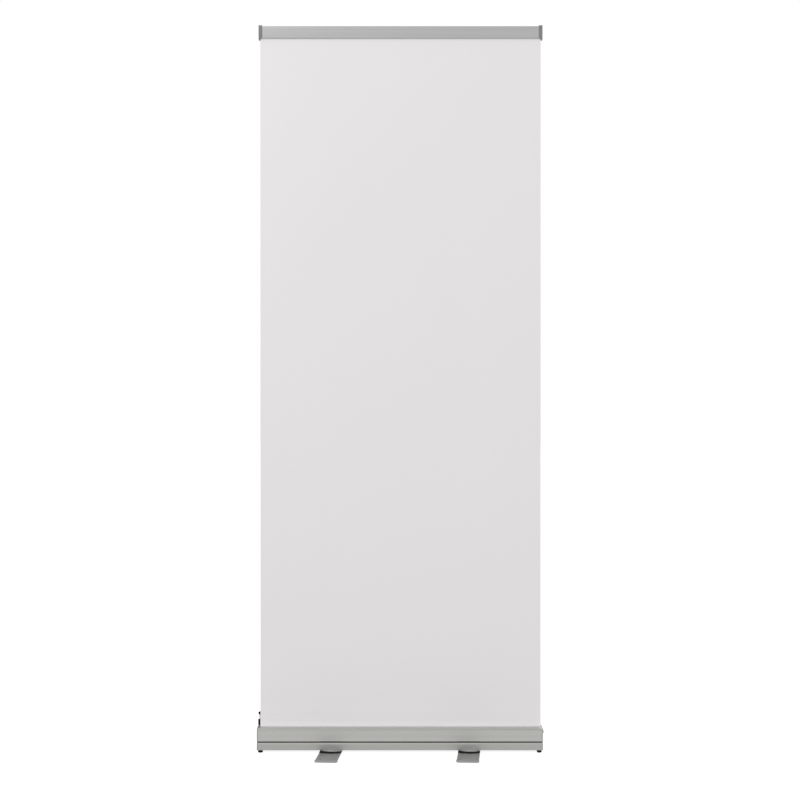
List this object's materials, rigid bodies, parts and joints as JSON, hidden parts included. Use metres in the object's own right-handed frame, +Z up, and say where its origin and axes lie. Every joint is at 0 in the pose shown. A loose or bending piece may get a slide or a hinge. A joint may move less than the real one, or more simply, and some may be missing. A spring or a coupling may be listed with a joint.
{
  "type": "roll-up banner stand",
  "caption": "Free-standing roll-up banner stand: aluminium cassette with sprung roller, plain film graphic, clamp rail, telescopic pole and swivelling flat feet.",
  "frame": {"origin": "floor level, under the middle of the cassette", "axes": "+Z up, +X along the cassette to the viewer's right, +Y to the back, so the graphic faces -Y"},
  "size_m": [0.8191, 0.3386, 2.0707],
  "materials": {
    "anodised_aluminium": "satin silver anodised extrusion with fine drawing lines",
    "foot_aluminium": "satin anodised flat bar with two shallow grooves",
    "pole_aluminium": "satin anodised drawn tube",
    "steel": "bright turned steel",
    "zinc_plate": "bright zinc plated steel",
    "spring_steel": "oiled dark spring wire",
    "black_plastic": "fine textured black moulding",
    "rail_cap_plastic": "satin dark grey moulding",
    "grey_plastic": "satin light grey moulding",
    "white_nylon": "natural nylon moulding",
    "rubber": "matt black rubber",
    "graphic_film": "plain light grey-white satin print film, no print"
  },
  "bodies": {
    "cassette": {"cassette_housing": "anodised_aluminium", "end_plate_left": "anodised_aluminium", "end_plate_right": "anodised_aluminium", "end_plate_screw_left_front_upper": "zinc_plate", "end_plate_screw_left_front_lower": "zinc_plate", "end_plate_screw_left_rear_lower": "zinc_plate", "end_plate_screw_right_front_upper": "zinc_plate", "end_plate_screw_right_front_lower": "zinc_plate", "end_plate_screw_right_rear_lower": "zinc_plate", "rubber_bumper_left_front": "rubber", "rubber_bumper_left_rear": "rubber", "rubber_bumper_right_front": "rubber", "rubber_bumper_right_rear": "rubber", "spring_shaft": "steel", "idler_axle": "steel", "graphic_panel": "graphic_film", "lock_plunger_nut": "steel", "lock_plunger_barrel": "black_plastic", "pole_socket": "black_plastic", "pole_tube_lower": "pole_aluminium", "foot_pivot_bolt_left": "zinc_plate", "foot_pivot_bolt_right": "zinc_plate", "foot_pivot_nut_left": "zinc_plate", "foot_pivot_nut_right": "zinc_plate"},
    "roller": {"roller_tube": "anodised_aluminium", "graphic_on_roller": "graphic_film", "spring_end_plug": "white_nylon", "notched_index_disc": "zinc_plate", "torsion_spring": "spring_steel", "spring_anchor_plug": "white_nylon", "idler_end_plug": "white_nylon", "drilled_index_disc": "zinc_plate"},
    "foot_left": {"foot_bar_left": "foot_aluminium", "foot_swivel_pad_left": "black_plastic", "foot_end_cap_left_front": "grey_plastic", "foot_end_cap_left_rear": "grey_plastic", "foot_rubber_pad_left_front": "rubber", "foot_rubber_pad_left_rear": "rubber"},
    "foot_right": {"foot_bar_right": "foot_aluminium", "foot_swivel_pad_right": "black_plastic", "foot_end_cap_right_front": "grey_plastic", "foot_end_cap_right_rear": "grey_plastic", "foot_rubber_pad_right_front": "rubber", "foot_rubber_pad_right_rear": "rubber"},
    "pole_middle": {"pole_tube_middle": "pole_aluminium"},
    "pole_top": {"pole_tube_upper": "pole_aluminium", "pole_head_hook": "black_plastic"},
    "twist_lock_1": {"twist_lock_lower": "black_plastic"},
    "twist_lock_2": {"twist_lock_upper": "black_plastic"},
    "rail": {"rail_back_channel": "anodised_aluminium", "rail_end_cap_left": "rail_cap_plastic", "rail_end_cap_right": "rail_cap_plastic"},
    "rail_jaw": {"rail_front_jaw": "anodised_aluminium", "rail_gripper_strip": "rubber"},
    "lock_plunger": {"lock_plunger_pin": "steel", "lock_plunger_knob": "black_plastic"},
    "side_pin": {"retaining_pin": "steel"}
  },
  "joints": [
    {"name": "pole_middle_slide", "type": "slide", "parent": "cassette", "child": "pole_middle", "axis": [0, 0, 1], "range_m": [-0.6, 0], "deforming": ["graphic_panel"]},
    {"name": "pole_top_slide", "type": "slide", "parent": "pole_middle", "child": "pole_top", "axis": [0, 0, 1], "range_m": [-0.6, 0]},
    {"name": "roller_spin", "type": "hinge", "parent": "cassette", "child": "roller", "pos_m": [0, 0, 0.039], "axis": [1, 0, 0], "range_deg": [0, 4816]},
    {"name": "left_foot_swivel", "type": "hinge", "parent": "cassette", "child": "foot_left", "pos_m": [-0.1924, 0, 0.004], "axis": [0, 0, 1], "range_deg": [-85.7, 0]},
    {"name": "right_foot_swivel", "type": "hinge", "parent": "cassette", "child": "foot_right", "pos_m": [0.2, 0, 0.004], "axis": [0, 0, 1], "range_deg": [0, 94.5]},
    {"name": "rail_unhook", "type": "slide", "parent": "pole_top", "child": "rail", "axis": [0, 0, 1], "range_m": [0, 0.014]},
    {"name": "rail_jaw_open", "type": "hinge", "parent": "rail", "child": "rail_jaw", "pos_m": [0, -0.0125, 2.0635], "axis": [-1, 0, 0], "range_deg": [0, 35]},
    {"name": "lower_twist_lock_turn", "type": "hinge", "parent": "cassette", "child": "twist_lock_1", "pos_m": [0.002, 0.0271, 0.76], "axis": [0, 0, 1], "range_deg": [0, 90]},
    {"name": "upper_twist_lock_turn", "type": "hinge", "parent": "pole_middle", "child": "twist_lock_2", "pos_m": [0.002, 0.0271, 1.4], "axis": [0, 0, 1], "range_deg": [0, 90]},
    {"name": "lock_plunger_press", "type": "slide", "parent": "cassette", "child": "lock_plunger", "axis": [0, 0, 1], "range_m": [-0.006, 0], "stiffness_N_per_m": 200, "springref_m": 0.002},
    {"name": "retaining_pin_slide", "type": "slide", "parent": "cassette", "child": "side_pin", "axis": [1, 0, 0], "range_m": [-0.002, 0.02]}
  ],
  "couplings": [
    {"joint": "pole_top_slide", "follows": "pole_middle_slide", "ratio": 1},
    {"joint": "roller_spin", "follows": "pole_middle_slide", "rad_per_m": -140.06}
  ]
}
